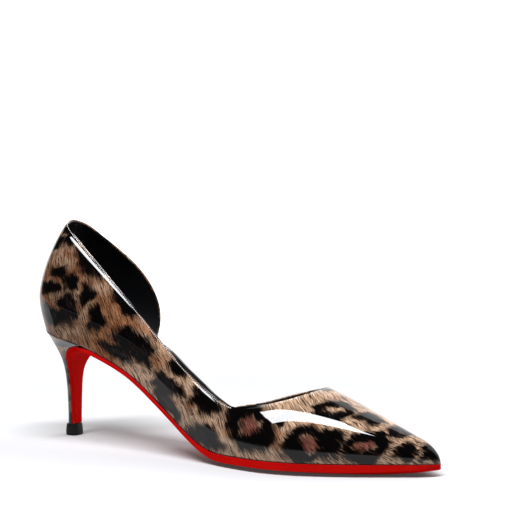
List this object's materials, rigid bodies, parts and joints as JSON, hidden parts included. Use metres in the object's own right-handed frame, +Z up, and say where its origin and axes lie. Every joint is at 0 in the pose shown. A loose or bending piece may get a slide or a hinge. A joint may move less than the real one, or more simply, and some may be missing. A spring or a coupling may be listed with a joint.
{
  "type": "dorsay pump",
  "caption": "Pointed half d'Orsay pump for the right foot: slim covered heel, one side open at the waist, thin leather outsole running down the front of the heel",
  "frame": {"origin": "middle of the shoe's bounding box, on the floor plane under the tread and the heel tip", "axes": "+X from the heel to the toe along the longest extent, +Y to the inner side of the foot, +Z up from the floor"},
  "size_m": [0.2456, 0.0724, 0.1266],
  "materials": {
    "printed_patent": "high-gloss patent leather with a brown and black spotted animal print",
    "red_sole": "red lacquered sole leather",
    "insole_lining": "smooth black padded leather",
    "black_rubber": "matte black rubber"
  },
  "bodies": {
    "root": {"upper": "printed_patent", "waist_band": "printed_patent", "heel": "printed_patent", "outsole": "red_sole", "insole": "insole_lining", "top_piece": "black_rubber"}
  },
  "joints": []
}
